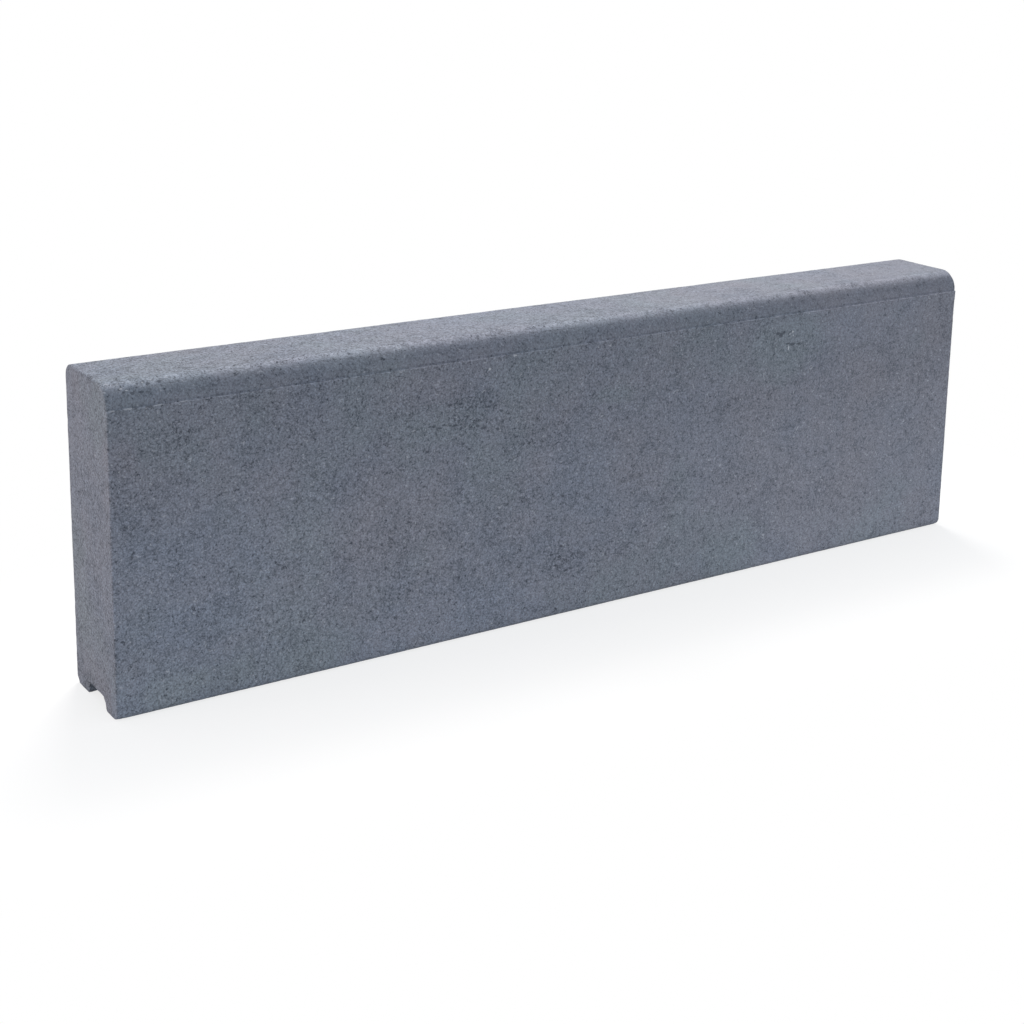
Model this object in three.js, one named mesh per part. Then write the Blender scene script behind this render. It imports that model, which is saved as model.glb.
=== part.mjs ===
// Precast concrete kerb stone: one dry-pressed casting, standing upright on its two bed strips.
// Millimetres, +Z up. The origin is the middle of the underside, +X runs along the kerb and
// -Y is the exposed front, whose top edge the press head has shaped into a round nose.

import * as THREE from "three";

// ---- Driving dimensions ----------------------------------------------------------------------

const LENGTH = 1000;
const HEIGHT = 300;
const THICKNESS = 100;

const NOSE_RADIUS = 20; // round front top edge
const NOSE_LAND = 1; // upright stretch between the nose and the press step
const PRESS_STEP = 1.5; // the press head is this much smaller than the mould

const REAR_TOP_RADIUS = 12;
const FOOT_RADIUS = 7; // both long edges at the bed

const GROOVE_WIDTH = 43; // across the mouth, at the bed
const GROOVE_DEPTH = 11;
const GROOVE_OFFSET = -1.5; // middle of the mouth from the middle of the kerb, towards +Y
const GROOVE_DRAFT = 12; // degrees that each flank leans in from the upright
const GROOVE_FRONT_LIP_RADIUS = 4; // front flank to bed
const GROOVE_FRONT_ROOF_RADIUS = 9.5; // front flank to roof
const GROOVE_REAR_LIP_RADIUS = 2.5; // rear flank to bed
const GROOVE_REAR_ROOF_RADIUS = 1; // rear flank to roof

const END_RADIUS = 1.5; // edges round both ends

// ---- Facets and finish -----------------------------------------------------------------------

const ARC_SEGMENTS = 5; // an arc gets twice as many facets
const END_SEGMENTS = 3;

const CONCRETE = { color: 0x717680, roughness: 0.93, metalness: 0 };

// ---- Section ---------------------------------------------------------------------------------

// The cross-section's corners before rounding, anticlockwise from the groove's rear lip.
// u points to the rear (+Y) and v up (+Z).
function sectionCorners() {
  const front = -THICKNESS / 2;
  const rear = THICKNESS / 2;
  const noseFace = front + PRESS_STEP;
  const stepHeight = HEIGHT - NOSE_RADIUS - NOSE_LAND;
  const frontLip = GROOVE_OFFSET - GROOVE_WIDTH / 2;
  const rearLip = GROOVE_OFFSET + GROOVE_WIDTH / 2;
  const flankLean = GROOVE_DEPTH * Math.tan(THREE.MathUtils.degToRad(GROOVE_DRAFT));
  const corner = (u, v, radius = 0) => ({ at: new THREE.Vector2(u, v), radius });
  return [
    corner(rearLip, 0, GROOVE_REAR_LIP_RADIUS),
    corner(rear, 0, FOOT_RADIUS),
    corner(rear, HEIGHT, REAR_TOP_RADIUS),
    corner(noseFace, HEIGHT, NOSE_RADIUS),
    corner(noseFace, stepHeight),
    corner(front, stepHeight),
    corner(front, 0, FOOT_RADIUS),
    corner(frontLip, 0, GROOVE_FRONT_LIP_RADIUS),
    corner(frontLip + flankLean, GROOVE_DEPTH, GROOVE_FRONT_ROOF_RADIUS),
    corner(rearLip - flankLean, GROOVE_DEPTH, GROOVE_REAR_ROOF_RADIUS),
  ];
}

// Adds what an arc needs to each corner: the directions of its two sides, the way it turns
// (1 is convex, -1 is hollow) and how much of a side one unit of radius takes up.
function withTurns(corners) {
  return corners.map((corner, i) => {
    const before = corners.at(i - 1).at;
    const after = corners[(i + 1) % corners.length].at;
    const arriving = corner.at.clone().sub(before);
    const leaving = after.clone().sub(corner.at);
    const cross = arriving.cross(leaving);
    const turn = Math.atan2(Math.abs(cross), arriving.dot(leaving));
    return {
      ...corner,
      sideLength: leaving.length(),
      arriving: arriving.normalize(),
      leaving: leaving.normalize(),
      convex: cross > 0,
      reach: Math.tan(turn / 2),
    };
  });
}

// Where two neighbouring arcs ask for more than the side between them, both shrink to share it.
function limitRadii(corners) {
  const share = corners.map((corner, i) => {
    const next = corners[(i + 1) % corners.length];
    const wanted = corner.radius * corner.reach + next.radius * next.reach;
    return wanted > corner.sideLength ? corner.sideLength / wanted : 1;
  });
  return corners.map((corner, i) => ({
    ...corner,
    radius: corner.radius * Math.min(share.at(i - 1), share[i]),
  }));
}

// Draws the outline as straight sides joined by tangent arcs.
function roundedShape(corners) {
  const shape = new THREE.Shape();
  corners.forEach(({ at, radius, arriving, leaving, convex, reach }, i) => {
    const start = at.clone().addScaledVector(arriving, -radius * reach);
    if (i === 0) {
      shape.moveTo(start.x, start.y);
    } else {
      shape.lineTo(start.x, start.y);
    }
    if (radius > 0) {
      const side = convex ? 1 : -1;
      const inward = new THREE.Vector2(-arriving.y, arriving.x);
      const centre = start.clone().addScaledVector(inward, radius * side);
      const from = Math.atan2(-arriving.x * side, arriving.y * side);
      const to = Math.atan2(-leaving.x * side, leaving.y * side);
      shape.absarc(centre.x, centre.y, radius, from, to, !convex);
    }
  });
  return shape;
}

// ---- The casting -----------------------------------------------------------------------------

// The section runs the whole length, and the edges round both ends are a quarter round.
function kerbGeometry() {
  const corners = limitRadii(withTurns(sectionCorners()));
  const roundedConvex = corners.filter((corner) => corner.convex && corner.radius > 0);
  const endRadius = Math.min(END_RADIUS, ...roundedConvex.map((corner) => corner.radius));
  const straight = LENGTH - 2 * endRadius;
  const geometry = new THREE.ExtrudeGeometry(roundedShape(corners), {
    depth: straight,
    curveSegments: ARC_SEGMENTS,
    bevelThickness: endRadius,
    bevelSize: endRadius,
    bevelOffset: -endRadius,
    bevelSegments: END_SEGMENTS,
  });
  geometry.translate(0, 0, -straight / 2);
  const rearwards = new THREE.Vector3(0, 1, 0);
  const upwards = new THREE.Vector3(0, 0, 1);
  const lengthwise = new THREE.Vector3(1, 0, 0);
  return geometry.applyMatrix4(new THREE.Matrix4().makeBasis(rearwards, upwards, lengthwise));
}

const kerb = new THREE.Mesh(kerbGeometry(), new THREE.MeshStandardMaterial(CONCRETE));
kerb.name = "kerb_stone";

const model = new THREE.Group();
model.add(kerb);

export default model;
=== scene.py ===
"""Concrete kerb stone: its cast shape, its wear and its dry-cast finish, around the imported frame."""

import math

import bmesh
import bpy
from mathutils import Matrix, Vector, noise


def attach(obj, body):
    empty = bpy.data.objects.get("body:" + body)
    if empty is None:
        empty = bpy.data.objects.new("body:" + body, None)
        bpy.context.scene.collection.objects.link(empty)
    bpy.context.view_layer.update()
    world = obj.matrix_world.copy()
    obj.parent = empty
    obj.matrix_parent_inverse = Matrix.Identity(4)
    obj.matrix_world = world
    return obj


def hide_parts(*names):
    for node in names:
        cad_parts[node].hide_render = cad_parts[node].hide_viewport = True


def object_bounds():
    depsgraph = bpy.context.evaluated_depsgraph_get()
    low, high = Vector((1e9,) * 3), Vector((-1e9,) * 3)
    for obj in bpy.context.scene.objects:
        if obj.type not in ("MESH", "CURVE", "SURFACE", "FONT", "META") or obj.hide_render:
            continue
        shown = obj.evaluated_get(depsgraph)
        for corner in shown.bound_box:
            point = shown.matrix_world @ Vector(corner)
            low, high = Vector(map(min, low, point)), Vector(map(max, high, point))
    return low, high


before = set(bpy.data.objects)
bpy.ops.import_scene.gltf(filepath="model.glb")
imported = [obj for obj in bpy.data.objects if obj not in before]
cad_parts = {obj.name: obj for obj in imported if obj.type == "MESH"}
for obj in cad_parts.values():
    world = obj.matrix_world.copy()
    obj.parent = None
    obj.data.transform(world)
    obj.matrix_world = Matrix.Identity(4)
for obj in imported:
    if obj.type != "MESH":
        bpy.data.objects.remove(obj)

CAD_LOW, CAD_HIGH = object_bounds()
NODE = "kerb_stone"
BODY = "root"
MM = 0.001
TINY = 1e-5  # places nearer to each other than this are one place
RIGHT_ANGLE = math.pi / 2
WHITE = (1, 1, 1, 1)

bl_info = {
    "name": "Concrete kerb stone",
    "version": (1, 0, 0),
    "blender": (4, 5, 0),
    "location": "View3D > Sidebar > Kerb",
    "description": "Models a dry-cast concrete kerb, its worn edges and its finish",
    "category": "Mesh",
}

# Marks and tints of the exposed face in millimetres: X, Z, half length, half height. Most dark
# marks are painted shade, and some pale ones painted highlights. They colour a skin of the casting
# that reaches from the front face back to the nose's shoulder.
SKIN_MIDDLE = CAD_LOW.y + 5 * MM
SKIN_REACH = 13 * MM
# Painted shade: dark marks for the shade in small hollows that aren't modelled.
PAINTED_SHADE_MARKS = (
    # painted shade beside and under the nodule near the right end
    (251, 247.0, 4.0, 1.3),
    (257.5, 245.6, 4.2, 1.9),
    (267.5, 245.0, 2.6, 1.4),
    (236.5, 259.5, 3.2, 1.9),
    (241, 257.5, 3.8, 2.8),
    (245.5, 260.0, 2.3, 1.9),
    # painted shade in the short cracks left of the middle
    (-166, 238.0, 3.0, 1.1),
    (-161, 238.6, 2.2, 1.0),
    (-155, 237.3, 2.6, 1.5),
    (-144, 233.0, 2.0, 1.1),
    (-132, 236.0, 1.8, 1.3),
    (-123, 230.5, 3.2, 1.5),
    (-121, 235.0, 1.8, 2.2),
    (-109, 224.5, 2.6, 1.5),
    (-101, 220.5, 2.2, 1.3),
    (-188, 220.0, 2.2, 1.1),
    (-177, 217.0, 2.6, 1.2),
    (-173, 219.4, 2.2, 1.0),
    (-166, 218.0, 2.2, 0.9),
    (-160, 217.2, 3.2, 1.2),
    (-154, 213.5, 1.6, 2.2),
    (-143, 213.0, 2.4, 1.1),
    (-136, 213.2, 2.6, 1.4),
    (-129, 210.2, 4.0, 1.5),
    (-124, 206.5, 2.2, 1.1),
    (-113, 207.0, 2.0, 1.7),
    (-152, 198.0, 2.4, 1.8),
    (-145, 192.0, 2.2, 1.3),
    (-191, 196.0, 2.6, 1.6),
    # painted shade in low pits near the middle
    (-47, 67.0, 2.6, 1.6),
    (-42, 55.0, 2.4, 1.4),
    (-30, 47.5, 3.6, 1.6),
    (-24, 48.5, 2.6, 1.4),
    (-36, 74.0, 2.0, 1.4),
    # painted shadows in the chips at the nose's left end
    (-468, 296.6, 1.8, 1.0),
    (-459, 295.8, 2.2, 0.9),
    (-449, 296.2, 2.4, 1.1),
    (-485, 294.2, 1.6, 0.9),
    (-482, 292.0, 1.8, 0.9),
    (-475, 290.6, 2.2, 1.1),
    (-467, 290.6, 2.8, 1.0),
)
# Pale specks and painted highlights.
PALE_SPECKS_AND_HIGHLIGHTS = (
    # painted highlights on the top of the nodule near the right end, which isn't modelled
    (257.3, 259.2, 1.6, 1.4),
    (258.3, 255.2, 1.1, 1.0),
    (253.5, 257.2, 1.0, 0.9),
    # a pale streak under the nodule
    (252.3, 242.0, 1.1, 2.4),
    # pale specks
    (-123, 267.0, 2.2, 1.7),
    (-95, 277.0, 2.2, 1.1),
    # pale chips at the nose's left end: partly their paler broken faces, partly painted highlights
    (-494, 298.6, 2.4, 0.5),
    (-483.5, 294.6, 1.6, 0.5),
    (-479, 293.0, 1.2, 0.5),
    (-470, 298.4, 1.8, 0.6),
    (-463, 296.8, 1.4, 0.4),
    (-455, 297.8, 2.2, 0.5),
    (-441, 298.2, 1.6, 0.5),
    # painted highlights along the ledge's rim at the left end
    (-495, 278.8, 3.6, 0.5),
    (-480.5, 278.8, 5.0, 0.6),
    (-453, 278.7, 5.0, 0.3),
    (-431, 278.7, 5.0, 0.25),
)
LEAN_PATCHES = ((-140, 224, 52, 26), (-30, 60, 40, 26), (-445, 250, 40, 22))
WARM_PATCHES = (
    (360, 140, 250, 115),
    (480, 250, 50, 50),
    (-235, 135, 70, 50),
    (-488, 236, 16, 20),
    (390, 290, 150, 17),
    (455, 28, 60, 36),
    (60, 150, 50, 40),
)
COOL_PATCHES = ((-430, 72, 70, 26), (-400, 10, 230, 44), (150, 25, 50, 14))
GREEN_PATCHES = ((220, 235, 150, 50), (-175, 222, 55, 25), (-400, 16, 130, 20), (25, 222, 35, 12))
# Paler patches, most of them painted light.
PALE_AND_LIT_PATCHES = (
    # a paler patch at the right top
    (370, 262, 190, 28),
    # painted light that lifts the shade in the step by the ledge
    (400, 280.2, 140, 1.3),
    # painted light along the foot, which lifts the shade near the floor
    (-120, 14, 230, 38),
    (-460, 14, 60, 32),
    (350, 14, 200, 42),
)

# Where a mark has faded out and where it shows in full, in shares of its half length and height.
PAINTED_SHADE_EDGE = (1.15, 0.65)
SPECK_AND_HIGHLIGHT_EDGE = (1.2, 0.6)
LEAN_EDGE = (1.2, 0.2)
TINT_EDGE = (1.3, 0.4)
PALE_AND_LIT_EDGE = (1.3, 0.5)


# ---- What a user would change ----------------------------------------------------------------


def length(name, description, default):
    return bpy.props.FloatProperty(
        name=name, description=description, default=default, min=0.0, precision=4, unit="LENGTH"
    )


def colour(name, description, default):
    return bpy.props.FloatVectorProperty(
        name=name, description=description, default=default, size=3, min=0.0, max=1.0, subtype="COLOR"
    )


def spot(name, description, default):
    return bpy.props.FloatVectorProperty(
        name=name, description=description, default=default, size=3, precision=4, unit="LENGTH"
    )


def power(name, description, default):
    return bpy.props.FloatProperty(
        name=name, description=description, default=default, min=0.0, unit="POWER"
    )


def factor(name, description, default, most=1.0):
    return bpy.props.FloatProperty(
        name=name, description=description, default=default, min=0.0, max=most, subtype="FACTOR"
    )


class KerbSizes(bpy.types.PropertyGroup):
    """The section of the casting, its wear, and how finely its surface is divided."""

    nose_radius: length("Nose radius", "Round front top edge", 20 * MM)
    nose_land: length("Nose land", "Upright stretch between the nose and the press step", 1 * MM)
    press_step: length("Press step", "How far the nose stands back from the front face", 1.5 * MM)
    rear_top_radius: length("Rear top radius", "Rounding of the rear top edge", 12 * MM)
    foot_radius: length("Foot radius", "Rounding of both long edges at the bed", 7 * MM)
    groove_width: length("Groove width", "Width of the bed groove at its mouth", 43 * MM)
    groove_depth: length("Groove depth", "Depth of the bed groove", 11 * MM)
    groove_front: length("Groove front", "From the middle of the kerb to the mouth's front lip", 23 * MM)
    groove_lean: length("Groove lean", "How far each flank leans in over its depth", 2.34 * MM)
    front_lip_radius: length("Front lip radius", "Rounding from the front flank to the bed", 4 * MM)
    front_roof_radius: length("Front roof radius", "Rounding from the front flank to the roof", 9.5 * MM)
    rear_lip_radius: length("Rear lip radius", "Rounding from the rear flank to the bed", 2.5 * MM)
    rear_roof_radius: length("Rear roof radius", "Rounding from the rear flank to the roof", 1 * MM)
    end_radius: length("End radius", "Rounding of the edges round both ends", 1.5 * MM)
    press_lip: length("Press lip", "How far the front stands proud just below the press step", 0.7 * MM)
    press_lip_full: length("Press lip full", "From the ledge down to where the lip starts to fade", 3 * MM)
    press_lip_foot: length("Press lip foot", "From the ledge down to where the lip has faded out", 16 * MM)
    burr: length("Burr", "Height of the ragged rim along the press step", 0.25 * MM)
    edge_wear: length("Edge wear", "Depth of the crumbs lost from the edges", 0.5 * MM)
    corner_wear: length("Corner wear", "Depth lost from the most worn corner", 1.1 * MM)
    knock: length("Knock", "Depth of the chips where the nose was knocked", 1.2 * MM)
    nose_wear: length("Nose wear", "Depth of the crumbs lost along the nose's shoulder", 0.6 * MM)
    unevenness: length("Unevenness", "Depth of the slow waves in the faces", 0.4 * MM)
    skin_relief: length("Skin relief", "Depth of the fine unevenness of the faces", 0.2 * MM)
    mesh_step: length("Mesh step", "Size of the surface's mesh on the exposed faces", 3 * MM)
    rear_mesh_step: length("Rear mesh step", "Size of the mesh on the rear face and in the bed", 5 * MM)


class KerbFinish(bpy.types.PropertyGroup):
    """The colours of the concrete, the size of its grain and how strongly each shows."""

    cool_cement: colour("Cool cement", "Slate blue clouds in the casting", (0.1575, 0.1802, 0.2262))
    warm_cement: colour("Warm cement", "Violet grey clouds in the casting", (0.1730, 0.1784, 0.2094))
    green_cement: colour("Green cement", "Green slate clouds in the casting", (0.1614, 0.1857, 0.2155))
    # Pit shade is painted shade: the colour that stands for the shade inside pits, creases and dark marks.
    pit_shade: colour("Pit", "Inside of pits, creases and dark blemishes", (0.045, 0.052, 0.068))
    sand: colour("Sand", "Pale grains that show at the surface", (0.36, 0.375, 0.415))
    # Lime: the pale specks' colour, also used for painted highlights on the nodule, the chips and the rim.
    lime_and_highlight: colour("Lime", "Pale specks and chips", (0.48, 0.50, 0.54))
    cloud_size: length("Cloud size", "Size of the colour clouds", 110 * MM)
    drift_size: length("Drift size", "Size of the green slate clouds", 130 * MM)
    patch_size: length("Patch size", "Size of the paler and darker patches", 42 * MM)
    mottle_size: length("Mottle size", "Size of the mottling", 8 * MM)
    crease_size: length("Crease size", "Size of the net of short creases", 7 * MM)
    seam_size: length("Seam size", "Size of the loops of fine seams between the grains", 4.6 * MM)
    fleck_size: length("Fleck size", "Size of the dark pits and pale grains", 3.4 * MM)
    grain_size: length("Grain size", "Size of the sand in the skin", 1.9 * MM)
    patch_contrast: factor("Patch contrast", "Strength of the patches", 0.16, 2.0)
    mottle_contrast: factor("Mottle contrast", "Strength of the mottling", 0.36, 2.0)
    seam_contrast: factor("Seam contrast", "Strength of the fine seams between the grains", 0.28, 4.0)
    grain_contrast: factor("Grain contrast", "Strength of the sand's light and dark", 1.81, 4.0)
    open_end: factor("Open end", "Strength of all grain at the left end, where the mix is open", 1.05, 2.0)
    close_end: factor("Close end", "Strength of all grain at the right end, where the mix is close", 0.82)
    # Crease, lean and pit shares set how dark the painted shade in creases and pits goes.
    crease_share: factor("Crease share", "How dark the creases go", 0.5)
    lean_share: factor("Lean share", "How much darker the creases go in the lean patches", 0.35)
    # How much paler the pale and lit patches are; at the foot and by the ledge they are painted light.
    pale_and_lit_share: factor("Bloom share", "How much paler the patches with lime bloom are", 0.1)
    pit_share: factor("Pit share", "How dark the pits go", 0.8)
    sand_share: factor("Sand share", "How pale the grains go", 0.65)
    # Mark share: how strongly the painted shade of the dark marks and the pale marks show.
    mark_share: factor("Mark share", "How strongly the single blemishes show", 0.7)
    # Shoulder light and its place: a painted highlight along the nose's shoulder.
    shoulder_light: factor("Rub", "How much paler the rubbed shoulder of the nose is", 0.36)
    shoulder_light_place: length("Rub place", "From the front face to the middle of the rubbed shoulder", 13.2 * MM)
    # Rim light: a painted highlight along the ledge's rim, which also lifts the shade in the step.
    rim_light: factor("Rim", "How much paler the torn rim at the press step is", 0.42)
    grain_height: length("Grain height", "Relief of the sand and the mottling in the skin", 0.16 * MM)
    pit_depth: length("Pit depth", "Depth of the dark pits", 0.25 * MM)
    roughness: factor("Roughness", "Roughness of the dry surface", 0.92)
    specular: factor("Specular", "Strength of the dry surface's gloss", 0.3)


class KerbStage(bpy.types.PropertyGroup):
    """The camera, the lamps and the floor."""

    camera_place: spot("Camera place", "Where the camera stands", (-0.9955, -1.4193, 0.6918))
    camera_turn: bpy.props.FloatVectorProperty(
        name="Camera turn",
        description="How the camera is turned",
        default=(math.radians(77.357), math.radians(-0.926), math.radians(-32.99)),
        size=3,
        subtype="EULER",
    )
    lens: bpy.props.FloatProperty(
        name="Lens", description="Focal length in millimetres on a 36 mm sensor", default=62.45, min=1.0
    )
    shift_up: bpy.props.FloatProperty(
        name="Shift up",
        description="Shift of the view in widths of the picture: up above 0, down below it",
        default=-0.2,
    )
    floor: colour("Floor", "Colour of the floor", (0.95, 0.95, 0.95))
    floor_size: length("Floor size", "Side of the floor", 60.0)
    floor_glow: factor("Floor glow", "How far the floor beside the kerb is lifted to white", 0.75)
    floor_reach: length("Floor reach", "Distance from the kerb at which the floor is white", 0.3)
    bounce: factor("Bounce", "How much light the floor throws back on the kerb", 0.5)
    sky: colour("Sky", "Colour of the light from all round", (0.866, 0.924, 1.0))
    sky_strength: factor("Sky strength", "Strength of the light from all round", 0.787, 4.0)
    key: colour("Key", "Colour of the large lamp", (1.0, 0.936, 0.887))
    key_power: power("Key power", "Power of the large lamp behind the kerb", 51.3)
    key_from: spot("Key from", "Where the large lamp hangs", (0.44, 1.1, 1.9))
    key_aim: spot("Key aim", "Where the large lamp points", (0.1, 0.0, 0.25))
    key_size: length("Key size", "Side of the large lamp", 1.0)
    side: colour("Side", "Colour of the lamp at the kerb's left end", (1.0, 0.831, 0.735))
    side_power: power("Side power", "Power of the lamp at the kerb's left end", 5.3)
    side_from: spot("Side from", "Where the side lamp stands", (-1.6, 0.1, 0.25))
    side_aim: spot("Side aim", "Where the side lamp points", (-0.5, 0.0, 0.1))
    side_length: length("Side length", "Length of the side lamp", 0.5)
    side_height: length("Side height", "Height of the side lamp", 0.3)
    strip_reach: length("Strip reach", "How far in front of the kerb's middle the low strips lie", 0.3)
    strip_height: length("Strip height", "Height of the low strips above the floor", 0.02)
    strip_width: length("Strip width", "Width of the low strips", 0.04)
    strip_aim: length("Strip aim", "Height on the kerb's front that the low strips face", 0.05)
    left_strip_power: power("Left strip power", "Power of the low strip at the left", 0.28)
    left_strip_from: length("Left strip from", "From the kerb's middle to the left strip's middle", 0.35)
    left_strip_length: length("Left strip length", "Length of the low strip at the left", 0.6)
    right_strip_power: power("Right strip power", "Power of the low strip at the right", 0.43)
    right_strip_from: length("Right strip from", "From the kerb's middle to the right strip's middle", 0.4)
    right_strip_length: length("Right strip length", "Length of the low strip at the right", 0.7)


# ---- Working in edit mode --------------------------------------------------------------------

SELECT_MODES = {"verts": "VERT", "edges": "EDGE", "faces": "FACE"}


def deselect_everything():
    if bpy.context.object and bpy.context.object.mode != "OBJECT":
        bpy.ops.object.mode_set(mode="OBJECT")
    bpy.ops.object.select_all(action="DESELECT")


def middle_of(item):
    """The place of a vertex, or the middle of an edge or a face."""
    if isinstance(item, bmesh.types.BMVert):
        return item.co
    if isinstance(item, bmesh.types.BMEdge):
        return (item.verts[0].co + item.verts[1].co) / 2
    return item.calc_center_median()


def choose(piece, kind, test):
    """In edit mode, selects the verts, edges or faces that pass the test of their middle."""
    bpy.ops.mesh.select_mode(type=SELECT_MODES[kind])
    bpy.ops.mesh.select_all(action="DESELECT")
    mesh = bmesh.from_edit_mesh(piece.data)
    chosen = [item for item in getattr(mesh, kind) if test(middle_of(item), item)]
    if not chosen:
        raise RuntimeError("no " + kind + " were found where the kerb's shape needs them")
    for item in chosen:
        item.select_set(True)
    bmesh.update_edit_mesh(piece.data)


def everything(place, item):
    return True


def cut(place, normal):
    """Cuts the chosen faces along a plane and keeps both sides."""
    bpy.ops.mesh.bisect(
        plane_co=place, plane_no=normal, use_fill=False, clear_inner=False, clear_outer=False
    )


def run_along(edge):
    """How far an edge runs along the kerb."""
    return abs(edge.verts[0].co.x - edge.verts[1].co.x)


def rise(value, start, end):
    """0 at start, 1 at end, smooth between; start may be above end."""
    share = min(max((value - start) / (end - start), 0.0), 1.0)
    return share * share * (3 - 2 * share)


# ---- The casting -----------------------------------------------------------------------------

ROUND_PROFILE = 0.5  # a bevel with this profile is an arc
LEAST_ARC_SEGMENTS = 3
END_SEGMENTS = 3
ARC_STEP = 0.6  # length of an outer arc's segments, in mesh steps
LENGTH_CUTS = 17  # made twice over, so that 18 x 18 strips run across the kerb
END_FACING = 0.99  # a face belongs to an end when its normal lies this far along X
LEVEL_DIGITS = 6  # heights are told apart to a thousandth of a millimetre
SHADE_ANGLE = math.radians(40)


def step_height(sizes):
    """Height of the ledge between the front face and the nose."""
    return CAD_HIGH.z - sizes.nose_radius - sizes.nose_land


def nose_face(sizes):
    """Y of the nose's upright land, which stands back from the front face."""
    return CAD_LOW.y + sizes.press_step


def section_sheet(sizes):
    """A flat sheet with the kerb's sharp-cornered section, standing at the kerb's left end."""
    middle = (CAD_LOW + CAD_HIGH) / 2
    bpy.ops.mesh.primitive_plane_add(
        size=1, location=(CAD_LOW.x, middle.y, middle.z), rotation=(0, RIGHT_ANGLE, 0)
    )
    piece = bpy.context.object
    piece.scale = (CAD_HIGH.z - CAD_LOW.z, CAD_HIGH.y - CAD_LOW.y, 1)
    bpy.ops.object.transform_apply(location=True, rotation=True, scale=True)
    bpy.ops.object.mode_set(mode="EDIT")
    cut_ledge(piece, sizes)
    cut_groove(piece, sizes)
    bpy.ops.mesh.select_all(action="SELECT")
    bpy.ops.mesh.dissolve_limited(angle_limit=math.radians(1))
    return piece


def cut_ledge(piece, sizes):
    """Takes away the strip in front of the nose, above the ledge."""
    ledge = step_height(sizes)
    face = nose_face(sizes)
    choose(piece, "faces", everything)
    cut((CAD_LOW.x, 0, ledge), (0, 0, 1))
    choose(piece, "faces", lambda place, item: place.z > ledge)
    cut((CAD_LOW.x, face, 0), (0, 1, 0))
    choose(piece, "faces", lambda place, item: place.z > ledge and place.y < face)
    bpy.ops.mesh.delete(type="FACE")


def cut_groove(piece, sizes):
    """Takes the groove out of the bed as wide as its roof, then opens its mouth."""
    ledge = step_height(sizes)
    roof = sizes.groove_depth
    front = -sizes.groove_front + sizes.groove_lean
    rear = sizes.groove_width - sizes.groove_front - sizes.groove_lean
    choose(piece, "faces", lambda place, item: place.z < ledge)
    cut((CAD_LOW.x, 0, roof), (0, 0, 1))
    for side in (front, rear):
        choose(piece, "faces", lambda place, item: place.z < roof)
        cut((CAD_LOW.x, side, 0), (0, 1, 0))
    choose(piece, "faces", lambda place, item: place.z < roof and front < place.y < rear)
    bpy.ops.mesh.delete(type="FACE")
    for side, lean in ((front, -sizes.groove_lean), (rear, sizes.groove_lean)):
        choose(piece, "verts", lambda place, item: place.z < TINY and abs(place.y - side) < TINY)
        bpy.ops.transform.translate(value=(0, lean, 0))


def round_corner(piece, y, z, radius, turn, step):
    """Turns the section's corner at (y, z) into an arc. turn is how far its outline turns there."""
    choose(piece, "verts", lambda place, item: abs(place.y - y) < TINY and abs(place.z - z) < TINY)
    bpy.ops.mesh.bevel(
        offset_type="OFFSET",
        offset=radius * math.tan(turn / 2),
        segments=max(LEAST_ARC_SEGMENTS, round(radius * turn / step)),
        profile=ROUND_PROFILE,
        affect="VERTICES",
        clamp_overlap=False,
    )


def round_section(piece, sizes):
    """Rounds all corners of the section but the two of the ledge."""
    flank_turn = RIGHT_ANGLE - math.atan(sizes.groove_lean / sizes.groove_depth)
    front, rear, foot, top = CAD_LOW.y, CAD_HIGH.y, CAD_LOW.z, CAD_HIGH.z
    front_lip = -sizes.groove_front
    rear_lip = sizes.groove_width - sizes.groove_front
    front_roof = front_lip + sizes.groove_lean
    rear_roof = rear_lip - sizes.groove_lean
    roof = sizes.groove_depth
    coarse = sizes.mesh_step
    fine = coarse * ARC_STEP
    corners = (
        (nose_face(sizes), top, sizes.nose_radius, RIGHT_ANGLE, fine),
        (rear, top, sizes.rear_top_radius, RIGHT_ANGLE, fine),
        (rear, foot, sizes.foot_radius, RIGHT_ANGLE, fine),
        (front, foot, sizes.foot_radius, RIGHT_ANGLE, fine),
        (front_lip, foot, sizes.front_lip_radius, flank_turn, fine),
        (rear_lip, foot, sizes.rear_lip_radius, flank_turn, fine),
        (front_roof, roof, sizes.front_roof_radius, flank_turn, coarse),
        (rear_roof, roof, sizes.rear_roof_radius, flank_turn, coarse),
    )
    for y, z, radius, turn, step in corners:
        round_corner(piece, y, z, radius, turn, step)


def divide_sides(piece, sizes):
    """Splits the section's straight sides into short edges, longer ones at the rear and in the bed."""
    mesh = bmesh.from_edit_mesh(piece.data)
    sides = []
    for edge in mesh.edges:
        if edge.calc_length() > 2 * sizes.mesh_step:
            sides.append((middle_of(edge), edge.calc_length()))
    for middle, span in sides:
        hidden = middle.y > CAD_HIGH.y - TINY or middle.z < sizes.groove_depth + TINY
        step = sizes.rear_mesh_step if hidden else sizes.mesh_step
        choose(piece, "edges", lambda place, item: (place - middle).length < TINY)
        bpy.ops.mesh.subdivide(number_cuts=round(span / step) - 1)


def extrude_casting(piece, sizes):
    """Extrudes the section to the kerb's length and rounds the edges round both ends."""
    choose(piece, "faces", everything)
    bpy.ops.mesh.extrude_region_move(TRANSFORM_OT_translate={"value": (CAD_HIGH.x - CAD_LOW.x, 0, 0)})
    mesh = bmesh.from_edit_mesh(piece.data)
    ends = [face for face in mesh.faces if abs(face.normal.x) > END_FACING]
    if len(ends) != 2:
        raise RuntimeError("the kerb needs two end faces and has " + str(len(ends)))
    choose(piece, "edges", lambda place, item: run_along(item) < TINY)
    bpy.ops.mesh.bevel(
        offset_type="OFFSET",
        offset=sizes.end_radius,
        segments=END_SEGMENTS,
        profile=ROUND_PROFILE,
        affect="EDGES",
        clamp_overlap=False,
    )


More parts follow.
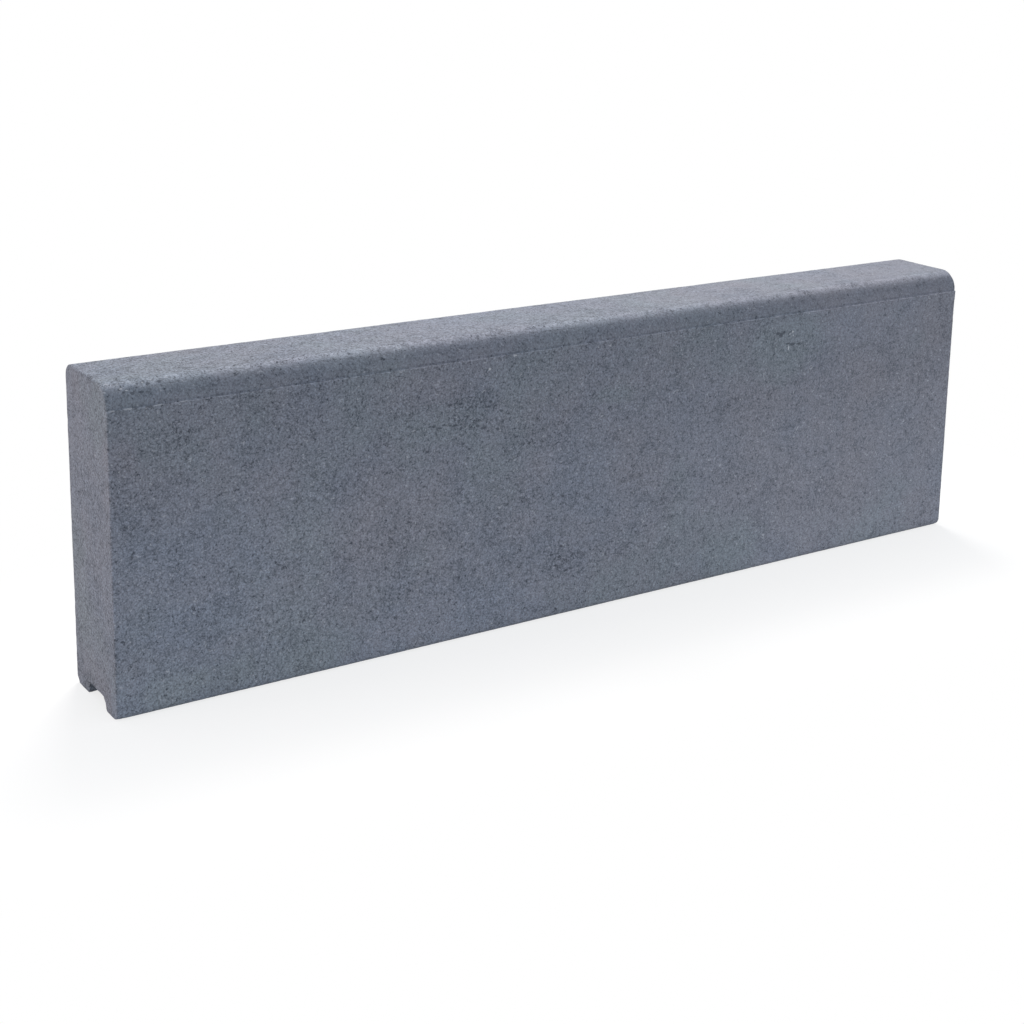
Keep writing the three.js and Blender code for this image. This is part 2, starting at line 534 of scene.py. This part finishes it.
def divide_ends(piece, sizes):
    """Cuts both end faces into a mesh of small squares, in line with the mesh of the front."""

    def at_end(place, item):
        return abs(abs(place.x) - CAD_HIGH.x) < TINY and abs(item.normal.x) > END_FACING

    heights = set()
    for vertex in bmesh.from_edit_mesh(piece.data).verts:
        if vertex.co.y < CAD_LOW.y + TINY and vertex.co.x > 0:
            heights.add(round(vertex.co.z, LEVEL_DIGITS))
    levels = sorted(heights)
    level = levels[-1]
    while level + sizes.mesh_step < CAD_HIGH.z - sizes.end_radius:
        level += sizes.mesh_step
        levels.append(level)
    for level in levels:
        choose(piece, "faces", at_end)
        cut((0, 0, level), (0, 0, 1))
    thickness = CAD_HIGH.y - CAD_LOW.y
    columns = round(thickness / sizes.mesh_step)
    for column in range(1, columns):
        choose(piece, "faces", at_end)
        cut((0, CAD_LOW.y + thickness * column / columns, 0), (0, 1, 0))


def divide_length(piece):
    """Cuts the edges that run from end to end, and then the stretches that this leaves."""
    whole = CAD_HIGH.x - CAD_LOW.x
    for least in (whole / 2, whole / (2 * LENGTH_CUTS)):
        choose(piece, "edges", lambda place, item: run_along(item) > least)
        bpy.ops.mesh.subdivide(number_cuts=LENGTH_CUTS)


# ---- Wear and unevenness ---------------------------------------------------------------------

# Wear starts at the first distance from an edge and is full at the second. A third value is its
# strength there, where that is less than 1.
END_WEAR = (5 * MM, 1 * MM, 0.75)
REAR_TOP_WEAR = (16 * MM, 9 * MM, 0.5)
GROOVE_WEAR = (5 * MM, 1 * MM, 0.8)
CORNER_WEAR = (9 * MM, 2 * MM)
FOOT_WEAR = (1.3, 0.7)  # in foot radii
GROOVE_REACH = 30 * MM  # the groove lies within this distance of the kerb's middle

# The nose's wear starts and is full at these distances behind the line where it meets the top.
NOSE_WEAR_REAR = (7 * MM, 0)
NOSE_WEAR_FRONT = (-19 * MM, -11 * MM)

# Where the nose was knocked: along from the left end, down from the top, back from the front face.
KNOCK_START = (2 * MM, 12 * MM)
KNOCK_END = (62 * MM, 44 * MM)
KNOCK_DROP = 12 * MM
KNOCK_REACH = 18 * MM

# Patches of wear: their size, and the values of their noise at which they start and are full.
EDGE_PATCHES = (60 * MM, -0.2, 0.4)
NOSE_PATCHES = (45 * MM, -0.3, 0.3)
BURR_PATCHES = (70 * MM, -0.35, 0.25)

# Y, Z and wear of the section's corners, then X of the kerb's ends and how much of it each has.
WORN_CORNERS = (
    (CAD_LOW.y, CAD_LOW.z, 1.0),
    (CAD_LOW.y, CAD_HIGH.z, 0.25),
    (CAD_HIGH.y, CAD_LOW.z, 0.4),
    (CAD_HIGH.y, CAD_HIGH.z, 0.3),
)
WORN_ENDS = ((CAD_LOW.x, 1.0), (CAD_HIGH.x, 0.55))

BED_SHARE = 0.2  # about this much of the faces' unevenness is left on the bed, so that it stands flat
BED_FADE = (-1 * MM, 6 * MM)  # heights over which the rest of it comes in
BURR_WIDTH = 0.3 * MM  # the burr's points lie this near to the front face
LEAST_WEIGHT = 0.002  # points with less than this stay out of a vertex group


def cloud_texture(name, size, depth=1, contrast=1.0, brightness=1.0):
    texture = bpy.data.textures.new(name, type="CLOUDS")
    texture.noise_scale = size
    texture.noise_depth = depth
    texture.contrast = contrast
    texture.intensity = brightness
    texture.use_clamp = True
    return texture


def weigh(piece, name, weight):
    """Adds a vertex group whose weights come from each point's place, from 0 to 1."""
    group = piece.vertex_groups.new(name=name)
    for vertex in piece.data.vertices:
        amount = weight(vertex.co)
        if amount > LEAST_WEIGHT:
            group.add([vertex.index], min(amount, 1.0), "REPLACE")


def displace(piece, group, strength, texture=None, middle=1.0, direction="NORMAL"):
    """Moves the group's points. With middle at 1 a texture only takes stone away."""
    bpy.ops.object.modifier_add(type="DISPLACE")
    modifier = piece.modifiers[-1]
    modifier.vertex_group = group
    modifier.strength = strength
    modifier.mid_level = middle
    modifier.direction = direction
    modifier.texture_coords = "LOCAL"
    if texture:
        modifier.texture = texture
    bpy.ops.object.modifier_apply(modifier=modifier.name)


def worn(distance, start, full, strength=1.0):
    """How worn a point at this distance from an edge is."""
    return rise(distance, start, full) * strength


def patchy(place, size, start, full, least=0.0):
    """Smooth patches of this size, from least to 1."""
    return least + (1 - least) * rise(noise.noise(place / size), start, full)


def front_share(place, sizes):
    """1 on the front face below the press lip, fading to 0 round the foot."""
    ledge = step_height(sizes)
    forward = 1 - (place.y - CAD_LOW.y) / sizes.foot_radius
    if place.z > ledge + TINY or forward <= 0:
        return 0
    below_lip = rise(place.z, ledge - sizes.press_lip_full, ledge - sizes.press_lip_foot)
    return min(forward, 1) * below_lip


def skin_share(place):
    """1 on the faces and little on the bed."""
    return rise(place.z, *BED_FADE) * (1 - BED_SHARE) + BED_SHARE


def nose_share(place, sizes):
    """Up to 1 along the shoulder where the nose meets the top, fading down the nose."""
    if place.z < CAD_HIGH.z - sizes.nose_radius:
        return 0
    across = place.y - (nose_face(sizes) + sizes.nose_radius)
    share = rise(across, *NOSE_WEAR_FRONT) * rise(across, *NOSE_WEAR_REAR)
    return share * patchy(place, *NOSE_PATCHES, least=0.5)


def edge_share(place, sizes):
    """Up to 1 on the arrises of the bed, less on the ends' and the rear top's, 0 inside the faces."""
    start, full = (share * sizes.foot_radius for share in FOOT_WEAR)
    foot = max(place.z - CAD_LOW.z, 0)
    front, rear = place.y - CAD_LOW.y, CAD_HIGH.y - place.y
    share = max(
        worn(CAD_HIGH.x - abs(place.x), *END_WEAR),
        worn(front + foot, start, full),
        worn(rear + foot, start, full),
        worn(rear + (CAD_HIGH.z - place.z), *REAR_TOP_WEAR),
    )
    if place.z < sizes.groove_depth and abs(place.y) < GROOVE_REACH:
        share = max(share, worn(place.z, *GROOVE_WEAR))
    return share * patchy(place, *EDGE_PATCHES, least=0.45)


def knock_share(place):
    """1 where the nose was knocked near its left end."""
    if place.z < CAD_HIGH.z - KNOCK_DROP or place.y > CAD_LOW.y + KNOCK_REACH:
        return 0
    along = place.x - CAD_LOW.x
    return rise(along, *KNOCK_START) * rise(along, *KNOCK_END)


def corner_share(place):
    """1 at the front's lower left corner, less at the others, 0 away from them."""
    share = 0
    for across, up, strength in WORN_CORNERS:
        for along, end_strength in WORN_ENDS:
            away = (place - Vector((along, across, up))).length
            share = max(share, worn(away, *CORNER_WEAR) * strength * end_strength)
    return share


def burr_share(place, sizes):
    """Patches along the rim of the ledge, 0 everywhere else."""
    on_rim = abs(place.z - step_height(sizes)) < TINY and place.y < CAD_LOW.y + BURR_WIDTH
    return patchy(place, *BURR_PATCHES) if on_rim else 0


def wear_kerb(piece, sizes):
    """Presses, roughens and wears the smooth casting, one vertex group after the other."""
    weigh(piece, "front", lambda place: front_share(place, sizes))
    displace(piece, "front", sizes.press_lip, middle=0.0, direction="Y")

    weigh(piece, "all", skin_share)
    displace(piece, "all", sizes.unevenness, cloud_texture("slow_waves", 90 * MM))
    skin = cloud_texture("skin", 7 * MM, depth=2, contrast=1.6, brightness=1.2)
    displace(piece, "all", sizes.skin_relief, skin)

    weigh(piece, "nose", lambda place: nose_share(place, sizes))
    shoulder = cloud_texture("shoulder", 6 * MM, depth=2, contrast=2.5, brightness=1.3)
    displace(piece, "nose", sizes.nose_wear, shoulder)

    weigh(piece, "edges", lambda place: edge_share(place, sizes))
    crumbs = cloud_texture("crumbs", 5 * MM, depth=2, contrast=4.0, brightness=1.7)
    displace(piece, "edges", sizes.edge_wear, crumbs)

    weigh(piece, "knock", knock_share)
    chips = cloud_texture("chips", 5 * MM, depth=2, contrast=3.5, brightness=1.35)
    displace(piece, "knock", sizes.knock, chips)

    weigh(piece, "corners", corner_share)
    displace(piece, "corners", -sizes.corner_wear, middle=0.0)

    weigh(piece, "burr", lambda place: burr_share(place, sizes))
    ragged = cloud_texture("ragged", 6 * MM, contrast=4.0)
    displace(piece, "burr", sizes.burr, ragged, middle=0.0, direction="Z")

    for group in list(piece.vertex_groups):
        bpy.ops.object.vertex_group_set_active(group=group.name)
        bpy.ops.object.vertex_group_remove()


def make_kerb(sizes):
    """The whole casting, in its place and worn."""
    deselect_everything()
    piece = section_sheet(sizes)
    piece.name = "kerb_casting"
    round_section(piece, sizes)
    divide_sides(piece, sizes)
    extrude_casting(piece, sizes)
    divide_ends(piece, sizes)
    divide_length(piece)
    bpy.ops.mesh.select_all(action="SELECT")
    bpy.ops.mesh.remove_doubles(threshold=TINY)
    bpy.ops.mesh.normals_make_consistent(inside=False)
    bpy.ops.object.mode_set(mode="OBJECT")
    bpy.ops.mesh.uv_texture_remove()
    wear_kerb(piece, sizes)
    bpy.ops.object.shade_smooth_by_angle(angle=SHADE_ANGLE)
    return piece


# ---- The concrete ----------------------------------------------------------------------------

# Where each feature starts to show in its noise, and where it shows in full.
PITS_SHOW = (0.11, 0.21)
SAND_SHOWS = (-0.12, -0.24)
NET_SHOWS = (0.026, 0.008)
CRACKS_SHOW = (-0.03, -0.16)
WARM_SHOWS = (-0.4, 0.4)
GREEN_SHOWS = (-0.05, 0.25)
SEAM_WIDTH = 0.07  # of its noise, on either side of 0
SEAM_TONES = (-0.79, 0.21)  # along a seam and in the loop that it encloses

# Bands across the section: where each starts, is full, is still full and has ended.
SHOULDER_BAND = (-7.5 * MM, -0.5 * MM, 2.5 * MM, 7 * MM)  # from the middle of the shoulder's painted highlight
RIM_BAND = (-1.3 * MM, -0.5 * MM, 0.5 * MM, 1.1 * MM)  # from the ledge's height

# Distances at which a finish starts and at which it is full.
RIM_FRONT = (2.2 * MM, 1.7 * MM)  # the painted highlight along the rim, behind the front face
SHOULDER_TOP = (9 * MM, 4 * MM)  # the shoulder's painted highlight, below the top
TOP_FACE = (3 * MM, 1.5 * MM)  # the top's own finish, below the top
END_FACE = (2.5 * MM, 1.2 * MM)  # an end's own finish, inside the end
PRESSED_FOOT = (-0.5 * MM, 1 * MM)  # the pressed nose, above the ledge
PRESSED_REAR = (1 * MM, -4 * MM)  # the pressed nose, behind the middle of the shoulder's painted highlight

# From the middle outwards, the mix is open past this share of the left half and close past this
# share of the right half. In between it changes slowly.
OPEN_PART = 0.3
CLOSE_PART = 0.9

# Shares by which the nose, the top and the ends have less grain, or more grain and mottling.
NOSE_CALM = 0.25
TOP_CALM = 0.03
TOP_CALM_PER_METRE = 0.5
END_GRAIN = 0.1
END_MOTTLE = 0.75
TOP_MOTTLE = 0.75
TOP_MOTTLE_LOSS_PER_METRE = 0.6

# What turns the cement's hue, and what draws cracks and green clouds to their patches.
CLOUD_HUE = 0.7
PATCH_HUE = 0.6
WARM_HUE = 0.14
COOL_HUE = 0.32
HUE_PER_METRE = 0.1
END_HUE = 0.05
LEAN_PULL = 0.14
GREEN_PULL = 0.14

# The painted highlights on the nose's shoulder and along the ledge's rim are broken up between
# these values of their noise, down to the first strength and up to the second.
SHOULDER_LIGHT_BREAKS = (-0.2, 0.1, 0.4, 1.0)
RIM_BREAKS = (-0.14, 0.14, 0.55, 1.15)
SHOULDER_LIGHT_FLECKS = 0.5  # what the flecks add to the noise of the shoulder's painted highlight
RIM_PER_METRE = 0.3  # what the way to the right adds to the noise of the rim's painted highlight

CRACK_DEPTH = 0.7  # in pit depths
GRAIN_ROUGHNESS = 0.1


class Wire:
    """One output of a material's nodes. Python's operators on it add Math nodes."""

    def __init__(self, tree, socket=None):
        self.tree = tree
        self.socket = socket

    def node(self, kind, settings=None, inputs=None, output=0):
        """Adds a node: its settings first, then the values or links of its sockets."""
        made = self.tree.nodes.new(kind)
        for name, value in (settings or {}).items():
            setattr(made, name, value)
        for name, value in (inputs or {}).items():
            if isinstance(value, Wire):
                self.tree.links.new(value.socket, made.inputs[name])
            else:
                made.inputs[name].default_value = value
        return Wire(self.tree, made.outputs[output] if len(made.outputs) else None)

    def also(self, output):
        """Another output of this wire's node."""
        return Wire(self.tree, self.socket.node.outputs[output])

    def maths(self, operation, *values):
        return self.node("ShaderNodeMath", {"operation": operation}, dict(enumerate(values)))

    def __add__(self, other):
        return self.maths("ADD", self, other)

    def __radd__(self, other):
        return self.maths("ADD", other, self)

    def __sub__(self, other):
        return self.maths("SUBTRACT", self, other)

    def __rsub__(self, other):
        return self.maths("SUBTRACT", other, self)

    def __mul__(self, other):
        return self.maths("MULTIPLY", self, other)

    def __rmul__(self, other):
        return self.maths("MULTIPLY", other, self)

    def unsigned(self):
        return self.maths("ABSOLUTE", self)

    def root(self):
        return self.maths("SQRT", self)

    def larger(self, other):
        return self.maths("MAXIMUM", self, other)

    def smaller(self, other):
        return self.maths("MINIMUM", self, other)

    def between(self, low, high, out_low=0.0, out_high=1.0):
        """Smoothly takes low to out_low and high to out_high, and holds them beyond."""
        inputs = {
            "Value": self,
            "From Min": low,
            "From Max": high,
            "To Min": out_low,
            "To Max": out_high,
        }
        return self.node("ShaderNodeMapRange", {"interpolation_type": "SMOOTHSTEP"}, inputs)

    def across(self, place, band):
        """1 inside a band that is given from a place, fading to 0 on either side of it."""
        start, full, still_full, end = (place + distance for distance in band)
        return self.between(start, full) * self.between(end, still_full)

    def noise(self, size, detail=2.0, roughness=0.5):
        """Noise round 0, about -0.5 to 0.5, with features of this size in metres."""
        inputs = {"Vector": self, "Scale": 1 / size, "Detail": detail, "Roughness": roughness}
        return self.node("ShaderNodeTexNoise", inputs=inputs) - 0.5

    def near(self, marks, edge, ragged=0.0):
        """1 inside any of the exposed face's marks, 0 outside all, for this wire of coordinates."""
        nearest = None
        for x, z, half_length, half_height in marks:
            centre = (x * MM, SKIN_MIDDLE, z * MM)
            scale = (1 / (half_length * MM), 1 / SKIN_REACH, 1 / (half_height * MM))
            shift = tuple(-part * times for part, times in zip(centre, scale))
            inputs = {0: self, 1: scale, 2: shift}
            apart = self.node("ShaderNodeVectorMath", {"operation": "MULTIPLY_ADD"}, inputs)
            distance = apart.node(
                "ShaderNodeVectorMath", {"operation": "LENGTH"}, {0: apart}, output="Value"
            )
            nearest = distance if nearest is None else nearest.smaller(distance)
        return (nearest + ragged).between(*edge)

    def mix(self, first, second):
        """Mixes two colours, with this wire as the share of the second."""
        inputs = {0: self, 6: first, 7: second}
        return self.node("ShaderNodeMix", {"data_type": "RGBA"}, inputs, output=2)

    def scaled(self, amount):
        """This colour made brighter or darker by an amount."""
        inputs = {0: self, "Scale": amount}
        return self.node("ShaderNodeVectorMath", {"operation": "SCALE"}, inputs)


def rgba(value):
    return (*value, 1.0)


def new_tree(block):
    """Clears a material's or a world's nodes and gives the wire that its own are built from."""
    block.use_nodes = True
    block.node_tree.nodes.clear()
    return Wire(block.node_tree)


def painted_shoulder_highlight(y, z, look, blotches):
    """Painted highlight: a paler band where the nose meets the top, standing in for the light there."""
    shoulder_highlight = y.across(CAD_LOW.y + look.shoulder_light_place, SHOULDER_BAND)
    start, full = SHOULDER_TOP
    shoulder_highlight = shoulder_highlight * z.between(CAD_HIGH.z - start, CAD_HIGH.z - full)
    return shoulder_highlight * blotches.between(*SHOULDER_LIGHT_BREAKS)


def painted_rim_highlight(y, z, ledge, blotches):
    """Painted highlight: a broken pale line along the ledge's rim, which also lifts the step's shade."""
    start, full = RIM_FRONT
    rim_highlight = z.across(ledge, RIM_BAND) * y.between(CAD_LOW.y + start, CAD_LOW.y + full)
    return rim_highlight * blotches.between(*RIM_BREAKS)


def pressed_nose(y, z, look, ledge):
    """The nose from the ledge to its shoulder, which the press head has smoothed."""
    shoulder = CAD_LOW.y + look.shoulder_light_place
    foot, full_up = PRESSED_FOOT
    rear, full_forward = PRESSED_REAR
    return z.between(ledge + foot, ledge + full_up) * y.between(shoulder + rear, shoulder + full_forward)


def concrete(look, sizes):
    """The whole casting's finish, from its clouds of colour down to its grain, pits and marks."""
    material = bpy.data.materials.new("dry_cast_concrete")
    place = new_tree(material).node("ShaderNodeTexCoord", output="Object")
    x = place.node("ShaderNodeSeparateXYZ", inputs={0: place})
    y, z = x.also("Y"), x.also("Z")
    ledge = step_height(sizes)

    clouds = place.noise(look.cloud_size)
    drift = place.noise(look.drift_size, detail=3.0, roughness=0.6)
    patches = place.noise(look.patch_size, detail=3.0, roughness=0.6)
    mottle = place.noise(look.mottle_size, detail=3.0, roughness=0.6)
    creases = place.noise(look.crease_size, roughness=0.6)
    flecks = place.noise(look.fleck_size, roughness=0.7)
    grain = place.noise(look.grain_size, roughness=0.7)
    seams = place.noise(look.seam_size, detail=1.0).unsigned().between(0.0, SEAM_WIDTH, *SEAM_TONES)

    pits = flecks.between(*PITS_SHOW)
    sand = flecks.between(*SAND_SHOWS)
    lean = place.near(LEAN_PATCHES, LEAN_EDGE)
    net = creases.unsigned().between(*NET_SHOWS)
    cracked = net * (patches + mottle - LEAN_PULL * lean).between(*CRACKS_SHOW)
    # Painted shade of the dark marks.
    mark_shade = place.near(PAINTED_SHADE_MARKS, PAINTED_SHADE_EDGE, flecks + grain)
    # Pale specks and painted highlights of the pale marks.
    specks_and_highlights = place.near(PALE_SPECKS_AND_HIGHLIGHTS, SPECK_AND_HIGHLIGHT_EDGE, flecks)
    warm = place.near(WARM_PATCHES, TINT_EDGE, patches)
    cool = place.near(COOL_PATCHES, TINT_EDGE, patches)
    green = place.near(GREEN_PATCHES, TINT_EDGE, patches)
    pale_and_lit = place.near(PALE_AND_LIT_PATCHES, PALE_AND_LIT_EDGE, patches)

    # Painted highlight: the nose's shoulder made paler where light would catch it.
    shoulder_highlight = painted_shoulder_highlight(y, z, look, mottle + flecks * SHOULDER_LIGHT_FLECKS)
    # Painted highlight: a broken pale line along the ledge's rim, which also lifts the step's shade.
    rim_highlight = painted_rim_highlight(y, z, ledge, patches + mottle + x * RIM_PER_METRE)
    pressed = pressed_nose(y, z, look, ledge)
    top_face = z.between(*(CAD_HIGH.z - below for below in TOP_FACE))
    end_face = x.unsigned().between(*(CAD_HIGH.x - inside for inside in END_FACE))

    open_until, close_from = CAD_LOW.x * OPEN_PART, CAD_HIGH.x * CLOSE_PART
    openness = x.between(open_until, close_from, look.open_end, look.close_end)
    calm = pressed * NOSE_CALM + top_face * (x * TOP_CALM_PER_METRE + TOP_CALM)
    sandy = openness * (1 - calm + end_face * END_GRAIN)
    top_mottle = top_face * (TOP_MOTTLE - x * TOP_MOTTLE_LOSS_PER_METRE)
    blotchy = openness * (1 + end_face * END_MOTTLE + top_mottle)

    # The painted highlights on the shoulder and the rim are also made warmer.
    to_warm = (warm + shoulder_highlight + rim_highlight) * WARM_HUE + x * HUE_PER_METRE + end_face * END_HUE
    hue = clouds * CLOUD_HUE + patches * PATCH_HUE + to_warm - cool * COOL_HUE
    cement = hue.between(*WARM_SHOWS).mix(rgba(look.cool_cement), rgba(look.warm_cement))
    slate = (drift + (green - warm) * GREEN_PULL).between(*GREEN_SHOWS)
    cement = slate.mix(cement, rgba(look.green_cement))

    tone = 1 + patches * look.patch_contrast + mottle * blotchy * look.mottle_contrast
    tone = tone + (grain * look.grain_contrast + seams * look.seam_contrast) * sandy
    # Paler patches, painted light at the foot and by the ledge.
    tone = tone + pale_and_lit * look.pale_and_lit_share
    # Painted highlights brighten the nose's shoulder and the ledge's rim.
    tone = tone * (1 + shoulder_highlight * look.shoulder_light + rim_highlight * look.rim_light)

    layers = (
        # painted shade in the creases, darker in the lean patches
        (cracked * (look.crease_share + lean * look.lean_share), look.pit_shade),
        # painted shade in the pits
        (pits * (openness - top_face * x) * look.pit_share, look.pit_shade),
        (sand * look.sand_share, look.sand),
        # painted shade of the dark marks
        (mark_shade * (look.mark_share + grain), look.pit_shade),
        # pale specks and painted highlights
        (specks_and_highlights * look.mark_share, look.lime_and_highlight),
    )
    shade = cement.scaled(tone)
    for share, tint in layers:  # the lowest layer comes first
        shade = share.mix(shade, rgba(tint))

    hollow = pits + cracked * CRACK_DEPTH
    height = (grain + mottle) * look.grain_height - hollow * look.pit_depth
    bump = place.node("ShaderNodeBump", inputs={"Strength": 1.0, "Distance": 1.0, "Height": height})
    inputs = {
        "Base Color": shade,
        "Roughness": look.roughness + grain * GRAIN_ROUGHNESS,
        "Normal": bump,
        "Specular IOR Level": look.specular,
    }
    surface = place.node("ShaderNodeBsdfPrincipled", inputs=inputs)
    place.node("ShaderNodeOutputMaterial", inputs={"Surface": surface})
    return material


# ---- The stage -------------------------------------------------------------------------------


def seen_directly(start):
    """1 for what the camera sees itself or in a reflection, 0 for light thrown on the kerb."""
    seen = start.node("ShaderNodeLightPath", output="Is Camera Ray")
    return seen.larger(seen.also("Is Glossy Ray")).larger(seen.also("Is Transmission Ray"))


def floor_material(look):
    """Pale and matt by the kerb, where it keeps the shadow, and lifted to plain white further off."""
    material = bpy.data.materials.new("studio_floor")
    start = new_tree(material)
    place = start.node("ShaderNodeTexCoord", output="Object")
    x = place.node("ShaderNodeSeparateXYZ", inputs={0: place})
    beyond_end = (x.unsigned() - CAD_HIGH.x).larger(0.0)
    beyond_face = (x.also("Y").unsigned() - CAD_HIGH.y).larger(0.0)
    distance = (beyond_end * beyond_end + beyond_face * beyond_face).root()
    lift = distance.between(0.0, look.floor_reach, look.floor_glow, 1.0)
    matt = start.node("ShaderNodeBsdfDiffuse", inputs={"Color": rgba(look.floor)})
    glow = start.node("ShaderNodeEmission", inputs={"Color": WHITE, "Strength": 1.0})
    shown = start.node("ShaderNodeMixShader", inputs={0: lift, 1: matt, 2: glow})
    thrown = start.node("ShaderNodeBsdfDiffuse", inputs={"Color": rgba((look.bounce,) * 3)})
    surface = start.node("ShaderNodeMixShader", inputs={0: seen_directly(start), 1: thrown, 2: shown})
    start.node("ShaderNodeOutputMaterial", inputs={"Surface": surface})
    return material


def light_world(look):
    """A tinted sky, which the camera itself sees as white."""
    world = bpy.data.worlds.new("studio")
    start = new_tree(world)
    seen = seen_directly(start)
    inputs = {
        "Color": seen.mix(rgba(look.sky), WHITE),
        "Strength": look.sky_strength + seen * (1 - look.sky_strength),
    }
    light = start.node("ShaderNodeBackground", inputs=inputs)
    start.node("ShaderNodeOutputWorld", inputs={"Surface": light})
    bpy.context.scene.world = world


def add_lamp(name, place, aim, size, watts, tint=(1, 1, 1)):
    """A soft lamp of this length and height that faces aim and isn't seen itself."""
    turn = (Vector(place) - Vector(aim)).to_track_quat("Z", "Y").to_euler()
    bpy.ops.object.light_add(type="AREA", location=place, rotation=turn)
    lamp = bpy.context.object
    lamp.name = name
    lamp.data.shape = "RECTANGLE"
    lamp.data.size, lamp.data.size_y = size
    lamp.data.energy = watts
    lamp.data.color = tint
    lamp.visible_camera = False


def add_strip(name, along, long, watts, look):
    """A low strip in front of the kerb, which lights the foot of the front face."""
    place = (along, -look.strip_reach, look.strip_height)
    aim = (along, CAD_LOW.y, look.strip_aim)
    add_lamp(name, place, aim, (long, look.strip_width), watts)


def make_stage(look):
    """The floor, the light and the camera."""
    deselect_everything()
    bpy.ops.mesh.primitive_plane_add(size=look.floor_size, location=(0, 0, CAD_LOW.z))
    floor = bpy.context.object
    floor.name = "studio_floor"
    floor.data.materials.append(floor_material(look))

    light_world(look)
    key_size = (look.key_size, look.key_size)
    side_size = (look.side_length, look.side_height)
    add_lamp("soft_key", look.key_from, look.key_aim, key_size, look.key_power, look.key)
    add_lamp("soft_side", look.side_from, look.side_aim, side_size, look.side_power, look.side)
    add_strip("left_strip", -look.left_strip_from, look.left_strip_length, look.left_strip_power, look)
    add_strip("right_strip", look.right_strip_from, look.right_strip_length, look.right_strip_power, look)

    bpy.ops.object.camera_add(location=look.camera_place, rotation=look.camera_turn)
    camera = bpy.context.object
    camera.name = "camera"
    camera.data.lens = look.lens
    camera.data.shift_y = look.shift_up
    bpy.context.scene.camera = camera
    bpy.context.scene.view_settings.view_transform = "Standard"


# ---- The add-on ------------------------------------------------------------------------------


class KERB_OT_casting(bpy.types.Operator):
    """Models the kerb as one worn concrete casting in place of its plain solid"""

    bl_idname = "kerb.casting"
    bl_label = "Kerb casting"
    bl_options = {"REGISTER", "UNDO"}

    def execute(self, context):
        piece = make_kerb(context.scene.kerb_sizes)
        piece.data.materials.clear()
        piece.data.materials.append(concrete(context.scene.kerb_finish, context.scene.kerb_sizes))
        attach(piece, BODY)
        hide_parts(NODE)
        return {"FINISHED"}


class KERB_OT_stage(bpy.types.Operator):
    """Sets up the floor, the lamps and the camera"""

    bl_idname = "kerb.stage"
    bl_label = "Studio stage"
    bl_options = {"REGISTER", "UNDO"}

    def execute(self, context):
        make_stage(context.scene.kerb_stage)
        return {"FINISHED"}


class KERB_PT_panel(bpy.types.Panel):
    """Lists what builds the kerb and its stage"""

    bl_idname = "KERB_PT_panel"
    bl_label = "Concrete kerb"
    bl_space_type = "VIEW_3D"
    bl_region_type = "UI"
    bl_category = "Kerb"

    def draw(self, context):
        self.layout.operator(KERB_OT_casting.bl_idname)
        self.layout.operator(KERB_OT_stage.bl_idname)
        for name in GROUPS:
            group = getattr(context.scene, name)
            box = self.layout.box()
            for prop in group.bl_rna.properties:
                if prop.identifier not in ("rna_type", "name"):
                    box.prop(group, prop.identifier)


GROUPS = {"kerb_sizes": KerbSizes, "kerb_finish": KerbFinish, "kerb_stage": KerbStage}
CLASSES = (KerbSizes, KerbFinish, KerbStage, KERB_OT_casting, KERB_OT_stage, KERB_PT_panel)


def register():
    for cls in CLASSES:
        bpy.utils.register_class(cls)
    for name, group in GROUPS.items():
        setattr(bpy.types.Scene, name, bpy.props.PointerProperty(type=group))


def unregister():
    for name in GROUPS:
        delattr(bpy.types.Scene, name)
    for cls in reversed(CLASSES):
        bpy.utils.unregister_class(cls)


def main():
    register()
    bpy.ops.kerb.casting()
    bpy.ops.kerb.stage()


if __name__ == "__main__":
    main()
